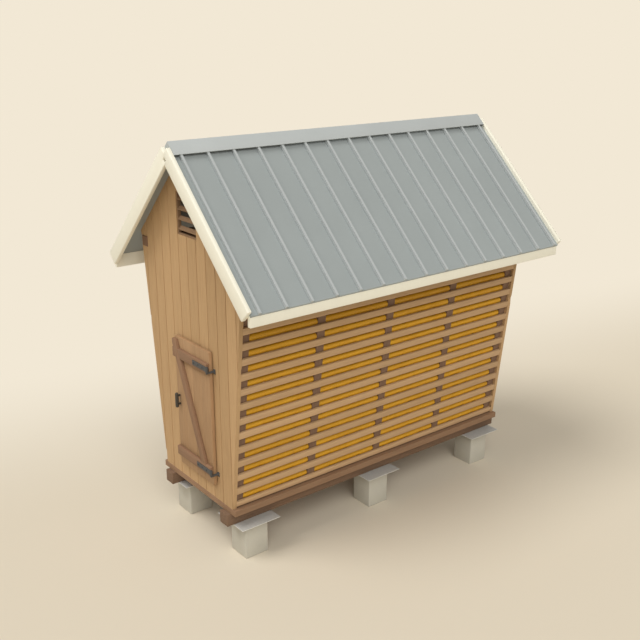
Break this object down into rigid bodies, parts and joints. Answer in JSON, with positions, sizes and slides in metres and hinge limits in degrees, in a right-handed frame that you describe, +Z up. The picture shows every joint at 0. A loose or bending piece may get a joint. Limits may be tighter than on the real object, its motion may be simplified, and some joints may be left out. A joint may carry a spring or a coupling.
{
  "type": "corn crib",
  "caption": "Farm corn crib on piers: slatted sides leaning out over stored ears, boarded gables, a hinged ledged door and a standing-seam gable roof.",
  "frame": {"origin": "ground level, under the middle of the roof", "axes": "+X to the right seen from the door, +Y along the ridge away from the door, +Z up"},
  "size_m": [2.4638, 3.912, 3.8582],
  "materials": {
    "pier": "rough",
    "guard": "satin",
    "frame_timber": "matt",
    "deck": "matt",
    "gable_board": "matt",
    "slat": "matt",
    "corn": "satin",
    "louvre": "matt",
    "roofing": "satin",
    "cap": "satin",
    "trim": "painted",
    "ironwork": "matt",
    "door_board": "matt",
    "door_batten": "matt",
    "handle": "matt"
  },
  "bodies": {
    "crib": {"pier_front_right": "pier", "pier_middle_right": "pier", "pier_rear_right": "pier", "pier_front_left": "pier", "pier_middle_left": "pier", "pier_rear_left": "pier", "rat_guards": "guard", "runner_right": "frame_timber", "runner_left": "frame_timber", "floor_deck": "deck", "front_wall_left": "gable_board", "front_wall_right": "gable_board", "front_wall_sill": "gable_board", "front_gable": "gable_board", "rear_wall": "gable_board", "rear_gable": "gable_board", "studs_right": "frame_timber", "studs_left": "frame_timber", "slats_right": "slat", "slats_left": "slat", "corn_right": "corn", "corn_left": "corn", "top_plate_right": "frame_timber", "top_plate_left": "frame_timber", "rafters": "frame_timber", "ridge_beam": "frame_timber", "vent_front": "louvre", "vent_rear": "louvre", "roof_panel_right": "roofing", "roof_panel_left": "roofing", "ridge_cap": "cap", "bargeboard_front_right": "trim", "bargeboard_front_left": "trim", "bargeboard_rear_right": "trim", "bargeboard_rear_left": "trim", "fascia_right": "trim", "fascia_left": "trim", "pintle_top": "ironwork", "pintle_bottom": "ironwork"},
    "door": {"door_leaf": "door_board", "door_ledges": "door_batten", "door_brace": "door_batten", "hinge_strap_top": "ironwork", "hinge_strap_bottom": "ironwork", "door_handle": "handle"}
  },
  "joints": [
    {"name": "door_swing", "type": "hinge", "parent": "crib", "child": "door", "pos_m": [0.3795, -1.851, 0.864], "axis": [0, 0, 1], "range_deg": [0, 170]}
  ]
}
